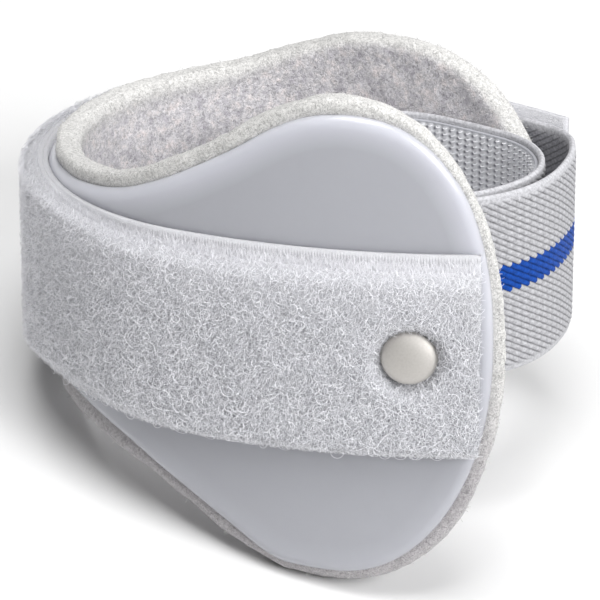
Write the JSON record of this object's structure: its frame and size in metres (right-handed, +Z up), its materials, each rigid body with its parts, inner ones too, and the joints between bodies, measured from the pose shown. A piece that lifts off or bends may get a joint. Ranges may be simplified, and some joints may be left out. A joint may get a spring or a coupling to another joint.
{
  "type": "elbow support",
  "caption": "C-shaped forearm clasp: a springy felt-lined plastic shell with flared paddles, a riveted loop strap round the outside and a striped elastic closing strap with hook tape.",
  "frame": {"origin": "under the middle of the whole clasp's box, on the surface that it rests on", "axes": "+Z up from the surface; the bend is at -X, the open side at +X, the front paddle at -Y and the back paddle at +Y"},
  "size_m": [0.1112, 0.1034, 0.0952],
  "materials": {
    "shell_plastic": "moulded polypropylene, soft gloss",
    "felt": "needled off-white felt",
    "loop_tape": "brushed knitted nylon loops",
    "elastic": "ribbed knitted elastic with a blue stripe",
    "hook_nylon": "woven nylon hooks",
    "rivet_metal": "satin nickel plate"
  },
  "bodies": {
    "root": {"shell": "shell_plastic", "felt_lining": "felt", "loop_strap": "loop_tape", "elastic_strap": "elastic", "hook_tape": "hook_nylon", "rivet_front": "rivet_metal", "rivet_back": "rivet_metal"}
  },
  "joints": []
}
